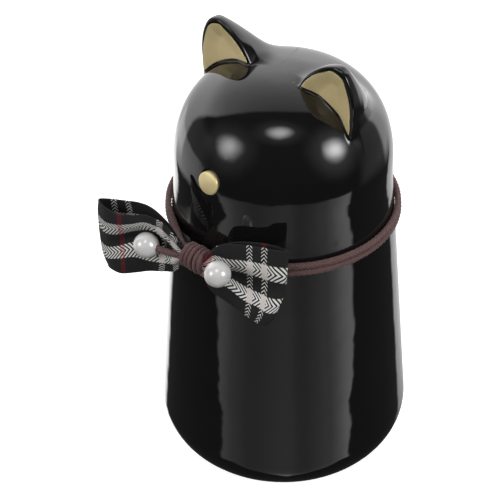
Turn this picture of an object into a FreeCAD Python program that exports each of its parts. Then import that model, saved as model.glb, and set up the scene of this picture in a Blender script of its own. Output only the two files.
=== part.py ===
"""Glazed ceramic cat with a plaid ribbon bow on an elastic neck cord.  Millimetres, +Z up.

The origin is the centre of the round foot, on the surface that the cat stands on.  The face looks along -Y.
"""
import FreeCAD
import Part
import math
import os
import Sketcher
from FreeCAD import Placement, Rotation, Vector

X_AXIS, Y_AXIS, Z_AXIS = Vector(1, 0, 0), Vector(0, 1, 0), Vector(0, 0, 1)

DIMENSIONS = [
    # body form
    ("base_radius", 43.0, "widest radius, just above the rounded bottom edge"),
    ("edge_width", 11.0, "how far the rounded bottom edge reaches inward"),
    ("edge_height", 14.0, "how far the rounded bottom edge reaches upward"),
    ("head_radius", 34.4, "radius of the head where the dome begins"),
    ("head_start", 107.3, "height at which the dome begins"),
    ("body_top", 141.8, "top of the dome, without the ears"),
    ("dome_power", 2.6, "fullness of the dome, 2 is an ellipse"),
    ("neck_blend", 15.0, "height over which the flank turns into the head"),
    ("wall", 4.0, "thickness of the slip-cast wall"),
    ("floor_thickness", 5.0, "thickness of the floor"),
    ("inner_corner", 8.0, "rounding between wall and floor inside"),
    ("foot_width", 6.0, "width of the flat foot ring"),
    ("foot_recess", 3.2, "depth of the underside inside the foot ring"),
    # stopper
    ("hole_radius", 13.0, "filling and draining hole in the floor"),
    ("stopper_clearance", 0.25, "gap round the stopper's plug and above its flange"),
    ("stopper_flange", 4.0, "how far the stopper's flange reaches past the hole"),
    ("flange_thickness", 2.2, "thickness of the stopper's flange"),
    ("plug_length", 9.0, "length of the stopper's plug above its flange"),
    ("plug_wall", 2.4, "wall of the hollow plug"),
    ("plug_chamfer", 0.8, "lead-in round the top of the plug"),
    # ears
    ("ear_lean", 19.6, "degrees that an ear leans outward"),
    ("ear_tip_inset", 10.1, "how far the ear tip lies inside the widest part of the head"),
    ("ear_tip_rise", 10.8, "height of the ear tip above the top of the dome"),
    ("ear_face_y", -4.5, "plane of the ear's front face"),
    ("ear_half_width", 10.4, "half the width of an ear at its root"),
    ("ear_length", 16.0, "length over which the ear widens from its tip"),
    ("ear_tip_depth", 2.8, "thickness of the ear at its tip"),
    ("ear_root_depth", 12.5, "depth of the ear at its root"),
    ("ear_rim", 1.1, "width of the rim left round the hollowed face"),
    ("ear_hollow_depth", 2.6, "depth of the hollowed face"),
    ("ear_blend", 3.5, "radius where the back of an ear runs into the dome"),
    ("gilding", 0.25, "thickness of the gold layer"),
    # nose
    ("nose_radius", 3.7, "radius of the nose button"),
    ("nose_rise", 12.0, "height of the middle of the nose above the start of the dome"),
    ("nose_edge", 0.5, "height of the nose's edge above the glaze"),
    ("nose_dome", 1.6, "how far the middle of the nose stands out"),
    ("nose_seat", 1.2, "depth of the seat that the nose sits in"),
    # neck cord
    ("cord_diameter", 2.1, "elastic cord, relaxed"),
    ("cord_drop", 12.9, "how far the cord lies below the start of the dome"),
    ("cord_gap", 0.35, "clearance between the cord and the glaze"),
    ("strand_gap", 0.08, "gap between pieces of cord that lie together"),
    ("knot_bend", 8.0, "bend radius of the strands beside the wrapping"),
    # wrapping, tails and pearls
    ("wrap_turns", 5, "turns of cord round the middle of the bow"),
    ("wrap_diameter", 1.65, "the same cord, stretched thin in the wrapping"),
    ("pearl_radius", 4.0, "pearl beads on the tails"),
    ("bore_clearance", 0.05, "gap between a tail and the hole in its pearl"),
    ("bore_depth", 3.0, "depth of the blind hole in a pearl"),
    # bow
    ("ribbon_width", 26.0, "width of the ribbon"),
    ("wing_length", 33.0, "from the middle of the bow to the end of a wing"),
    ("wing_thickness", 2.0, "depth that the folds of a wing take up"),
    ("wing_droop", 2.5, "how far the end of a wing hangs below the knot"),
    ("waist_height", 3.2, "height of the gathered middle"),
    ("waist_depth", 1.5, "depth of the gathered middle"),
]

document = FreeCAD.newDocument("ceramic_cat")
sheet = document.addObject("Spreadsheet::Sheet", "sizes")
for row, (alias, value, meaning) in enumerate(DIMENSIONS, start=1):
    sheet.set(f"A{row}", alias)
    sheet.set(f"B{row}", str(value))
    sheet.set(f"C{row}", meaning)
    sheet.setAlias(f"B{row}", alias)
document.recompute()


def size(alias):
    """The value of a spreadsheet cell."""
    return float(getattr(sheet, alias))


def feature(name, shape, placement=None):
    """A Part::Feature with its own Label and, after its Shape, its Placement."""
    made = document.addObject("Part::Feature", name)
    made.Label = name
    made.Shape = shape
    if placement is not None:
        made.Placement = placement
    return made


# ---------------------------------------------------------------- outline of the body
def flank_radius(height):
    """Outer radius on the tapered flank, which runs from the bottom edge up to the head."""
    share = (height - size("edge_height")) / (size("head_start") - size("edge_height"))
    return size("base_radius") + (size("head_radius") - size("base_radius")) * share


def dome_radius(height):
    """Outer radius on the dome: a superellipse."""
    rise = (height - size("head_start")) / (size("body_top") - size("head_start"))
    power = size("dome_power")
    return size("head_radius") * (1 - rise ** power) ** (1 / power)


def outer_radius(height):
    if height < size("head_start"):
        return flank_radius(height)
    return dome_radius(height)


def revolved_form(inset, bottom, corner_width, corner_height):
    """Solid of revolution of the body outline moved inward by inset, standing at height bottom."""
    wide = size("base_radius") - inset
    neck_z = size("head_start")
    straight_top = neck_z - size("neck_blend")
    low = Vector(wide - corner_width, 0, bottom)
    side = Vector(wide, 0, bottom + corner_height)
    half_way = math.radians(45)
    middle = Vector(
        low.x + corner_width * math.sin(half_way), 0, side.z - corner_height * math.cos(half_way)
    )
    flank_end = Vector(flank_radius(straight_top) - inset, 0, straight_top)
    dome_points = [flank_end, Vector(size("head_radius") - inset, 0, neck_z)]
    top = size("body_top") - inset
    for degrees in (14, 28, 42, 55, 67, 78):
        share = math.sin(math.radians(degrees))
        power = size("dome_power")
        radius = (size("head_radius") - inset) * (1 - share ** power) ** (1 / power)
        dome_points.append(Vector(radius, 0, neck_z + (top - neck_z) * share))
    dome_points.append(Vector(0, 0, top))
    dome = Part.BSplineCurve()
    dome.interpolate(dome_points, InitialTangent=(flank_end - side), FinalTangent=Vector(-1, 0, 0))
    axis_foot = Vector(0, 0, bottom)
    edges = [
        Part.makeLine(axis_foot, low),
        Part.Arc(low, middle, side).toShape(),
        Part.makeLine(side, flank_end),
        dome.toShape(),
        Part.makeLine(dome_points[-1], axis_foot),
    ]
    form = Part.Face(Part.Wire(edges)).revolve(Vector(), Z_AXIS, 360)
    form.rotate(Vector(), Z_AXIS, 90)  # the seam of the turned form lies at the back
    return form


# ---------------------------------------------------------------- ears
EAR_TIP_X = size("head_radius") - size("ear_tip_inset")


def ear_placement(side):
    """Frame of an ear: origin at its tip, local +Z down its length, local +Y to the back."""
    tip = Vector(side * EAR_TIP_X, size("ear_face_y"), size("body_top") + size("ear_tip_rise"))
    return Placement(tip, Rotation(Y_AXIS, 180 + side * size("ear_lean")))


def ear_half_width(distance):
    """Half the width of an ear at a distance down from its tip."""
    rest = max(0.0, 1 - distance / size("ear_length"))
    return size("ear_half_width") * (1 - rest ** 1.7) ** 0.62


def ear_depth(distance):
    """Depth of an ear at a distance down from its tip."""
    share = distance / size("ear_length")
    return size("ear_tip_depth") + (size("ear_root_depth") - size("ear_tip_depth")) * share


def lobe_section(distance, half_width, depth):
    """Closed D across an ear: straight sides in front of the face plane, half an ellipse behind it."""
    front = Vector(0, -3, 0)
    left, right = Vector(-half_width, 0, distance), Vector(half_width, 0, distance)
    steps = 8
    rim = []
    for k in range(steps + 1):
        angle = math.pi * k / steps
        rim.append(Vector(half_width * math.cos(angle), depth * math.sin(angle), distance))
    back = Part.BSplineCurve()
    back.interpolate(rim, InitialTangent=Vector(0, depth, 0), FinalTangent=Vector(0, -depth, 0))
    return Part.Wire([
        back.toShape(),
        Part.makeLine(left, left + front),
        Part.makeLine(left + front, right + front),
        Part.makeLine(right + front, right),
    ])


def in_front_of_face():
    """Everything in front of the ear's face plane, in the ear's own frame."""
    return Part.makeBox(60, 20, 60, Vector(-30, -20, -10))


def ear_lobe():
    """Solid ear in its own frame, flat on its front, running down into the dome."""
    distances = (0.35, 1.2, 2.6, 4.6, 7.4, 11.0, 15.0, 20.0, 25.0)
    sections = [lobe_section(d, ear_half_width(d), ear_depth(d)) for d in distances]
    return Part.makeLoft(sections, True, False).cut(in_front_of_face())


def ear_bowl(side, inset):
    """The hollow of an ear's face, made smaller all round by inset; it ends on a lip above the dome."""
    rim = size("ear_rim") + inset
    depth = size("ear_hollow_depth") - inset
    start = 1.3 + rim
    sections = []
    for further in (0.0, 0.9, 2.2, 4.2, 7.2, 11.0, 16.0, 21.0):
        distance = start + further
        fade = math.sqrt(min(1.0, (further + 0.3) / 4.5))
        sections.append(lobe_section(distance, ear_half_width(distance) - rim, depth * fade))
    bowl = Part.makeLoft(sections, True, False)
    bowl.Placement = ear_placement(side)
    lip = revolved_form(-size("ear_rim") - inset, 0.0, size("edge_width"), size("edge_height"))
    return bowl.cut(lip)


def ear_gilding(side):
    """Thin gold layer that lines the hollow of an ear."""
    layer = ear_bowl(side, 0.0).cut(ear_bowl(side, size("gilding")))
    front = in_front_of_face()
    front.Placement = ear_placement(side)
    return layer.cut(front)


# ---------------------------------------------------------------- nose
def nose_placement():
    """Frame of the nose: origin on the glaze, local +Z pointing out of the head."""
    height = size("head_start") + size("nose_rise")
    step = 0.01
    slope = (outer_radius(height + step) - outer_radius(height - step)) / (2 * step)
    tilt = math.degrees(math.atan(-slope))
    return Placement(Vector(0, -outer_radius(height), height), Rotation(X_AXIS, 90 - tilt))


# ---------------------------------------------------------------- ceramic body
def ceramic_body():
    outer = revolved_form(0.0, 0.0, size("edge_width"), size("edge_height"))
    lobes = []
    for side in (1, -1):
        lobe = ear_lobe()
        lobe.Placement = ear_placement(side)
        lobes.append(lobe)
    body = outer.fuse(lobes)
    roots = []
    for edge in body.Edges:
        if edge.Length < 3 or edge.BoundBox.ZMin < size("head_start"):
            continue
        middle = edge.valueAt((edge.FirstParameter + edge.LastParameter) / 2)
        on_dome = abs(math.hypot(middle.x, middle.y) - outer_radius(middle.z)) < 0.15
        behind_face = middle.y > size("ear_face_y") + 0.05
        if on_dome and behind_face and abs(middle.x) > EAR_TIP_X / 4:
            roots.append(edge)
    body = body.makeFillet(size("ear_blend"), roots)
    floor_top = size("foot_recess") + size("floor_thickness")
    cavity = revolved_form(size("wall"), floor_top, size("inner_corner"), size("inner_corner"))
    foot_inside = size("base_radius") - size("edge_width") - size("foot_width")
    recess = Part.makeCylinder(foot_inside, size("foot_recess"))
    hole = Part.makeCylinder(size("hole_radius"), floor_top + 1)
    seat = Part.makeCylinder(size("nose_radius"), size("nose_seat") + 3, Vector(0, 0, -size("nose_seat")))
    seat.Placement = nose_placement()
    for tool in (cavity, recess, hole, seat, ear_bowl(1, 0.0), ear_bowl(-1, 0.0)):
        body = body.cut(tool)
    return body


feature("ceramic_body", ceramic_body())
feature("left_ear_gilding", ear_gilding(1))
feature("right_ear_gilding", ear_gilding(-1))


# ---------------------------------------------------------------- nose and stopper
def bind(item, **expressions):
    """Tie properties of an object to the spreadsheet."""
    for name, expression in expressions.items():
        item.setExpression(name, expression)
    return item


def make_nose():
    """Round button with a low domed face, its back in the seat."""
    stem = bind(document.addObject("Part::Cylinder", "nose_stem"),
                Radius="sizes.nose_radius", Height="sizes.nose_seat + sizes.nose_dome")
    stem.Placement = Placement(Vector(0, 0, -size("nose_seat")), Rotation())
    rise = "(sizes.nose_dome - sizes.nose_edge)"
    cap = bind(document.addObject("Part::Sphere", "nose_cap"),
               Radius=f"(sizes.nose_radius ^ 2 + {rise} ^ 2) / (2 * {rise})")
    document.recompute()
    cap.Placement = Placement(Vector(0, 0, size("nose_dome") - cap.Radius.Value), Rotation())
    nose = document.addObject("Part::Common", "nose")
    nose.Label = "nose"
    nose.Base = stem
    nose.Tool = cap
    nose.Placement = nose_placement()
    return nose


def make_stopper():
    """Soft hollow plug with a flange, turned from one outline; it stands in the hole of the floor."""
    hole = "(sizes.hole_radius - sizes.stopper_clearance)"
    roof = "(sizes.foot_recess - sizes.stopper_clearance)"
    underside = f"({roof} - sizes.flange_thickness)"
    top = f"({roof} + sizes.plug_length)"
    bore = f"({hole} - sizes.plug_wall)"
    outline = [
        ("0", f"{underside} + sizes.flange_thickness"),
        ("0", underside),
        ("sizes.hole_radius + sizes.stopper_flange", underside),
        ("sizes.hole_radius + sizes.stopper_flange", roof),
        (hole, roof),
        (hole, f"{top} - sizes.plug_chamfer"),
        (f"{hole} - sizes.plug_chamfer", top),
        (bore, top),
        (bore, roof),
    ]
    body = document.addObject("PartDesign::Body", "stopper")
    body.Label = "stopper"
    sketch = body.newObject("Sketcher::SketchObject", "stopper_outline")
    planes = {item.Role: item for item in body.Origin.OriginFeatures}
    sketch.AttachmentSupport = [(planes["XZ_Plane"], "")]
    sketch.MapMode = "FlatFace"
    corners = []
    for radius, height in outline:
        corners.append(Vector(sheet.evalExpression(radius), sheet.evalExpression(height), 0))
    for k, corner in enumerate(corners):
        sketch.addGeometry(Part.LineSegment(corner, corners[(k + 1) % len(corners)]), False)
    for k in range(len(corners)):
        sketch.addConstraint(Sketcher.Constraint("Coincident", k, 2, (k + 1) % len(corners), 1))
    for k, (radius, height) in enumerate(outline):
        if radius == "0":
            sketch.addConstraint(Sketcher.Constraint("PointOnObject", k, 1, -2))
        else:
            index = sketch.addConstraint(Sketcher.Constraint("DistanceX", -1, 1, k, 1, corners[k].x))
            sketch.setExpression(f"Constraints[{index}]", radius)
        index = sketch.addConstraint(Sketcher.Constraint("DistanceY", -1, 1, k, 1, corners[k].y))
        sketch.setExpression(f"Constraints[{index}]", height)
    turned = body.newObject("PartDesign::Revolution", "stopper_turned")
    turned.Profile = sketch
    turned.ReferenceAxis = (sketch, ["V_Axis"])
    turned.Angle = 360
    return body


make_nose()
make_stopper()


# ---------------------------------------------------------------- cord round the neck
CORD = size("cord_diameter") / 2
CORD_HEIGHT = size("head_start") - size("cord_drop")


def strand_behind():
    """How far the strands lie behind the middle of the wrapping."""
    return (size("waist_depth") + size("strand_gap")) / 2


def waist_ahead():
    """How far the gathered ribbon lies in front of the middle of the wrapping."""
    return (size("cord_diameter") + size("strand_gap")) / 2


def wrapping_inner_radius():
    """Room inside the turns of cord: the two strands behind, the gathered ribbon in front."""
    strand_reach = math.hypot(CORD + size("strand_gap") / 2, strand_behind()) + CORD
    waist_reach = math.hypot(size("waist_height") / 2, waist_ahead() + size("waist_depth") / 2)
    return max(strand_reach, waist_reach) + size("strand_gap")


def wrapping_pitch():
    return size("wrap_diameter") + size("strand_gap")


def wrapping_half_length():
    return size("wrap_turns") * wrapping_pitch() / 2


def wrapping_outer_radius():
    return wrapping_inner_radius() + size("wrap_diameter")


def knot_centre():
    """Middle of the wrapping, in front of the neck."""
    lowest = CORD_HEIGHT - wrapping_outer_radius()
    distance = outer_radius(lowest) + size("cord_gap") + wrapping_outer_radius()
    return Vector(0, -distance, CORD_HEIGHT)


def sweep_cord(name, path, radius):
    """A length of cord along a path of tangent lines and arcs."""
    spine = feature(name + "_path", path)
    start = path.Edges[0]
    section = document.addObject("Part::Circle", name + "_section")
    section.Radius = radius
    direction = start.tangentAt(start.FirstParameter)
    section.Placement = Placement(start.valueAt(start.FirstParameter), Rotation(Z_AXIS, direction))
    swept = document.addObject("Part::Sweep", name)
    swept.Label = name
    swept.Sections = [section]
    swept.Spine = (spine, [f"Edge{k + 1}" for k in range(len(path.Edges))])
    swept.Solid = True
    swept.Frenet = False
    return swept


def neck_strand(name, height):
    """Closed strand: round the neck, then in to the wrapping, which holds it straight."""
    ring = outer_radius(height - CORD) + size("cord_gap") + CORD
    front = -knot_centre().y - strand_behind()
    bend = size("knot_bend")
    straight = wrapping_half_length()
    bend_distance = math.hypot(straight, front - bend)
    leave = math.atan2(straight, front - bend) + math.acos((ring - bend) / bend_distance)

    def on_ring(angle):
        return Vector(ring * math.sin(angle), -ring * math.cos(angle), height)

    def on_bend(side, angle):
        reach = Vector(bend * math.sin(angle), -bend * math.cos(angle), height)
        return Vector(side * (straight + reach.x), reach.y - (front - bend), height)

    path = Part.Wire([
        Part.Arc(on_ring(math.pi), on_ring(math.pi * 0.6), on_ring(leave)).toShape(),
        Part.makeLine(on_ring(leave), on_bend(1, leave)),
        Part.Arc(on_bend(1, leave), on_bend(1, leave / 2), on_bend(1, 0)).toShape(),
        Part.makeLine(on_bend(1, 0), on_bend(-1, 0)),
        Part.Arc(on_bend(-1, 0), on_bend(-1, leave / 2), on_bend(-1, leave)).toShape(),
        Part.makeLine(on_bend(-1, leave), on_ring(-leave)),
        Part.Arc(on_ring(-leave), on_ring(-math.pi * 0.6), on_ring(-math.pi)).toShape(),
    ])
    return sweep_cord(name, path, CORD)


strand_rise = CORD + size("strand_gap") / 2
neck_strand("neck_cord_upper", CORD_HEIGHT + strand_rise)
neck_strand("neck_cord_lower", CORD_HEIGHT - strand_rise)


# ---------------------------------------------------------------- wrapping round the bow
def make_wrapping():
    """Turns of thinner stretched cord side by side round the strands and the gathered ribbon."""
    turns = []
    count = int(size("wrap_turns"))
    for k in range(count):
        turn = bind(document.addObject("Part::Torus", f"wrapping_turn_{k + 1}"),
                    Radius2="sizes.wrap_diameter / 2")
        turn.Radius1 = wrapping_inner_radius() + size("wrap_diameter") / 2
        place = knot_centre() + Vector((k - (count - 1) / 2) * wrapping_pitch(), 0, 0)
        turn.Placement = Placement(place, Rotation(Y_AXIS, 90))
        turns.append(turn)
    group = document.addObject("Part::Compound", "bow_wrapping")
    group.Label = "bow_wrapping"
    group.Links = turns
    return group


make_wrapping()


# ---------------------------------------------------------------- tails and pearls
def pearl_and_tail(side_name, start, centre):
    """A bead with a blind hole, and the end of cord that runs from the wrapping into it."""
    along = (centre - start).normalize()
    facing = Placement(centre, Rotation(Z_AXIS, along * -1))
    bead = bind(document.addObject("Part::Sphere", f"{side_name}_bead"), Radius="sizes.pearl_radius")
    bead.Placement = facing
    hole = bind(document.addObject("Part::Cylinder", f"{side_name}_bead_hole"),
                Radius="sizes.cord_diameter / 2 + sizes.bore_clearance",
                Height="sizes.bore_depth + 1")
    inside = size("pearl_radius") - size("bore_depth")
    hole.Placement = facing.multiply(Placement(Vector(0, 0, inside), Rotation()))
    pearl = document.addObject("Part::Cut", f"{side_name}_pearl")
    pearl.Label = f"{side_name}_pearl"
    pearl.Base = bead
    pearl.Tool = hole
    reach = (centre - start).Length - inside - size("bore_clearance")
    tail = bind(document.addObject("Part::Cylinder", f"{side_name}_cord_tail"),
                Radius="sizes.cord_diameter / 2")
    tail.Label = f"{side_name}_cord_tail"
    tail.Height = reach
    tail.Placement = Placement(start, Rotation(Z_AXIS, along))


knot = knot_centre()
front_of_waist = waist_ahead() + size("waist_depth") / 2 + CORD + size("strand_gap")
beside_wrapping = wrapping_half_length() + 0.75 * CORD
left_start = knot + Vector(beside_wrapping, -front_of_waist, -2.4)
right_start = knot + Vector(-beside_wrapping, -front_of_waist, 0.6)
pearl_and_tail("left", left_start, knot + Vector(13.2, -5.1, 4.0))
pearl_and_tail("right", right_start, knot + Vector(-15.6, -5.8, 0.7))


# ---------------------------------------------------------------- ribbon
def ribbon_section(name, centre, height, depth):
    """Upright rectangle across the ribbon."""
    corners = [Vector(0, -depth / 2, -height / 2), Vector(0, depth / 2, -height / 2),
               Vector(0, depth / 2, height / 2), Vector(0, -depth / 2, height / 2)]
    return feature(name, Part.makePolygon(corners + corners[:1]), Placement(centre, Rotation()))


def make_wing(name, side, middle_back, end_back):
    """One wing fans out from the gathered middle; the back values say how far it lies toward the body."""
    near = wrapping_half_length() + size("strand_gap")
    stations = [
        (near, 0.0, size("waist_height"), size("waist_depth")),
        (0.5 * size("wing_length"), middle_back, 0.72 * size("ribbon_width"), size("wing_thickness")),
        (size("wing_length"), end_back, size("ribbon_width"), size("wing_thickness")),
    ]
    sections = []
    for k, (distance, back, height, depth) in enumerate(stations):
        drop = size("wing_droop") * (distance - near) / (size("wing_length") - near)
        centre = Vector(side * distance, knot.y - waist_ahead() + back, knot.z - drop)
        sections.append(ribbon_section(f"{name}_section_{k + 1}", centre, height, depth))
    wing = document.addObject("Part::Loft", name)
    wing.Sections = sections
    wing.Solid = True
    wing.Ruled = True
    return wing


def make_ribbon():
    """One strip of ribbon: two wings and the gathered middle that passes through the wrapping."""
    waist = bind(document.addObject("Part::Box", "ribbon_waist"),
                 Width="sizes.waist_depth", Height="sizes.waist_height")
    waist_length = 2 * (wrapping_half_length() + size("strand_gap"))
    waist.Length = waist_length
    waist.Placement = Placement(
        Vector(-waist_length / 2, knot.y - waist_ahead() - size("waist_depth") / 2,
               knot.z - size("waist_height") / 2), Rotation())
    left = make_wing("left_wing", 1, 1.6, 7.0)
    right = make_wing("right_wing", -1, 0.5, -3.5)
    ribbon = document.addObject("Part::MultiFuse", "bow_ribbon")
    ribbon.Label = "bow_ribbon"
    ribbon.Shapes = [left, waist, right]
    return ribbon


make_ribbon()

# ---------------------------------------------------------------- checks and export
NODES = [
    "ceramic_body", "left_ear_gilding", "right_ear_gilding", "nose", "stopper",
    "neck_cord_upper", "neck_cord_lower", "bow_wrapping", "bow_ribbon",
    "left_cord_tail", "right_cord_tail", "left_pearl", "right_pearl",
]

document.recompute()
for item in document.Objects:
    if "Invalid" in item.State or "Error" in item.State:
        raise RuntimeError(f"{item.Name} failed: {item.State}")
os.makedirs("parts", exist_ok=True)
by_label = {item.Label: item for item in document.Objects}
for node in NODES:
    shape = by_label[node].Shape
    if shape.isNull() or not shape.isValid():
        raise RuntimeError(f"{node} has no valid shape")
    print(f"{node}: {len(shape.Solids)} solid, {shape.Volume:.1f} mm3")
for node in NODES:
    by_label[node].Shape.exportStep(f"parts/{node}.step")
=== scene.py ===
"""Looks of the glazed ceramic cat: materials, the tied plaid bow, braided elastic cord and pearls.

Metres, in the frame of the CAD model: +Z up, the face looks along -Y.
"""
import math

import bpy
import numpy as np
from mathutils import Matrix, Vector


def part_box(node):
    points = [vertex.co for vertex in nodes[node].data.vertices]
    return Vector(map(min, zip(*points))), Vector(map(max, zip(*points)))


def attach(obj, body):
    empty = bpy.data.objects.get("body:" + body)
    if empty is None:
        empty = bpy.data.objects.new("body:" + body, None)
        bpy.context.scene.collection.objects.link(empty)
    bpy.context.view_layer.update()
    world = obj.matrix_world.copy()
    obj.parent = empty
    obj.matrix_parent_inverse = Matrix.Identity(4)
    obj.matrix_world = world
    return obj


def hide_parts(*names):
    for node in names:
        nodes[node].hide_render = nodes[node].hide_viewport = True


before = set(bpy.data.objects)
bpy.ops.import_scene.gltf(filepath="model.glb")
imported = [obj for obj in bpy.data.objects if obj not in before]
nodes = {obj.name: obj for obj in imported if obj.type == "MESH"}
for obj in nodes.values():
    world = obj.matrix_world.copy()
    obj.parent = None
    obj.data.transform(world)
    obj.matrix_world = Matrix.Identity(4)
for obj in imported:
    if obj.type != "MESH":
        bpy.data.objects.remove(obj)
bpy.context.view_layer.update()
MM = 0.001

# ---------------------------------------------------------------- camera
CAMERA_AZIMUTH = math.radians(40.0)
CAMERA_LIFT = 38.27       # degrees above level
CAMERA_DISTANCE = 0.430
AIM_HEIGHT = 0.0731       # of the point on the cat's axis that the camera turns to
SENSOR_WIDTH = 36.0       # millimetres, as is the focal length
FOCAL_LENGTH = 93.74
FRAME_SHIFT = -0.0666     # leaves room for the bow on the left


def direction_at(turn, lift):
    """Unit vector at degrees to the right of the camera and degrees above level."""
    angle, height = CAMERA_AZIMUTH + math.radians(turn), math.radians(lift)
    return Vector((math.sin(angle) * math.cos(height), -math.cos(angle) * math.cos(height),
                   math.sin(height)))


TO_CAMERA = direction_at(0, CAMERA_LIFT)
camera_data = bpy.data.cameras.new("camera")
camera_data.sensor_width = SENSOR_WIDTH
camera_data.lens = FOCAL_LENGTH
camera_data.shift_x = FRAME_SHIFT
camera = bpy.data.objects.new("camera", camera_data)
camera.location = Vector((0, 0, AIM_HEIGHT)) + TO_CAMERA * CAMERA_DISTANCE
camera.rotation_mode = "QUATERNION"
camera.rotation_quaternion = (-TO_CAMERA).to_track_quat("-Z", "Y")
bpy.context.scene.collection.objects.link(camera)
bpy.context.scene.camera = camera
bpy.context.scene.view_settings.view_transform = "Standard"


# ---------------------------------------------------------------- node helpers
class Net:
    """Short calls for building a node tree."""

    def __init__(self, tree):
        self.tree = tree
        tree.nodes.clear()

    def node(self, kind, inputs=None, **settings):
        made = self.tree.nodes.new(kind)
        for name, value in settings.items():
            setattr(made, name, value)
        return self.fill(made, inputs or {})

    def fill(self, made, inputs):
        """Links or sets each named input."""
        for key, value in inputs.items():
            self.feed(made.inputs[key], value)
        return made

    def feed(self, socket, value):
        if isinstance(value, bpy.types.NodeSocket):
            self.tree.links.new(value, socket)
        elif value is not None:
            socket.default_value = value

    def math(self, operation, a, b=None):
        made = self.node("ShaderNodeMath", operation=operation)
        return self.fill(made, {0: a, 1: b}).outputs[0]

    def dot(self, vector, constant):
        made = self.node("ShaderNodeVectorMath", {0: vector, 1: constant}, operation="DOT_PRODUCT")
        return made.outputs["Value"]

    def step(self, value, low, high, start=0.0, end=1.0):
        """Smooth step from start at low to end at high."""
        made = self.node("ShaderNodeMapRange", interpolation_type="SMOOTHSTEP")
        self.fill(made, {"Value": value, "From Min": low, "From Max": high, "To Min": start, "To Max": end})
        return made.outputs["Result"]

    def ramp(self, value, low, high, stops):
        """Value between stops given as (position, level), scaled to the largest level."""
        share = self.node("ShaderNodeMapRange", {"Value": value, "From Min": low, "From Max": high})
        made = self.node("ShaderNodeValToRGB")
        peak = max(level for _, level in stops)
        ramp = made.color_ramp
        ramp.interpolation = "CARDINAL"
        while len(ramp.elements) > 1:
            ramp.elements.remove(ramp.elements[-1])
        for k, (position, level) in enumerate(stops):
            where = (position - low) / (high - low)
            element = ramp.elements[0] if k == 0 else ramp.elements.new(where)
            element.position = where
            element.color = (level / peak, level / peak, level / peak, 1)
        self.feed(made.inputs["Fac"], share.outputs["Result"])
        return self.math("MULTIPLY", made.outputs["Color"], peak)

    def mix(self, factor, a, b):
        """Colour a where factor is 0, b where it is 1."""
        made = self.node("ShaderNodeMix", data_type="RGBA")
        return self.fill(made, {"Factor": factor, "A": a, "B": b}).outputs["Result"]

    def bump(self, height, distance, strength=1.0, normal=None):
        made = self.node("ShaderNodeBump", {
            "Height": height, "Distance": distance, "Strength": strength, "Normal": normal})
        return made.outputs["Normal"]

    def noise(self, vector, scale, detail=2.0):
        made = self.node("ShaderNodeTexNoise", {
            "Vector": vector, "Scale": scale, "Detail": detail, "Roughness": 0.5})
        return made.outputs["Fac"]

    def place(self):
        return self.node("ShaderNodeTexCoord").outputs["Object"]

    def texture(self, name):
        """The two coordinates of a UV map."""
        uv = self.node("ShaderNodeUVMap", uv_map=name).outputs["UV"]
        parts = self.node("ShaderNodeSeparateXYZ", {0: uv})
        return parts.outputs[0], parts.outputs[1]


def new_material(name):
    material = bpy.data.materials.new(name)
    material.use_nodes = True
    net = Net(material.node_tree)
    shader = net.node("ShaderNodeBsdfPrincipled")
    net.node("ShaderNodeOutputMaterial", {"Surface": shader.outputs["BSDF"]})
    return material, net, shader


def grey(level):
    return (level, level, level, 1)


# ---------------------------------------------------------------- studio light
# Turns are degrees to the right of the camera and lifts are degrees above level.
FRONT_PANEL = [  # turn and level of the broad low panel in front, brighter towards its two ends
    (-80, 0.0), (-76, 0.62), (-62, 0.72), (-50, 0.45), (-38, 0.30), (-28, 0.24), (-10, 0.33),
    (6, 0.37), (14, 0.26), (24, 0.28), (36, 0.43), (45, 0.56), (54, 1.0), (65, 1.45), (69, 1.35),
    (72, 0.0),
]
PANEL_MIDDLE, PANEL_HALF = 3.0, 72.0
NARROWS_BELOW, NARROWING = -31.5, 2.0   # the panel narrows by degrees of turn for each degree of lift
LAMPS = [  # turn, lift, half width, half height, level
    (-65, 25, 10.5, 11, 7.0), (-9, 67, 8.5, 6.5, 7.5), (60, 24, 10, 11, 13.5),
]
REAR_LEVELS = [  # lift and level of the large overhead and rear light
    (-48, 0.0), (-40, 0.75), (-28, 1.05), (-10, 1.15), (5, 1.5), (15, 1.9), (22, 2.1), (32, 1.7),
    (42, 1.3), (57, 0.93), (68, 0.70), (78, 0.53), (90, 0.38),
]
AMBIENT = 0.045
LIT_HEIGHT = 0.08         # of the point that the area lights shine at
FLOOR_HALF = 3.0
FLOOR_GAP = 0.0002        # keeps the floor just under the foot


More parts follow.
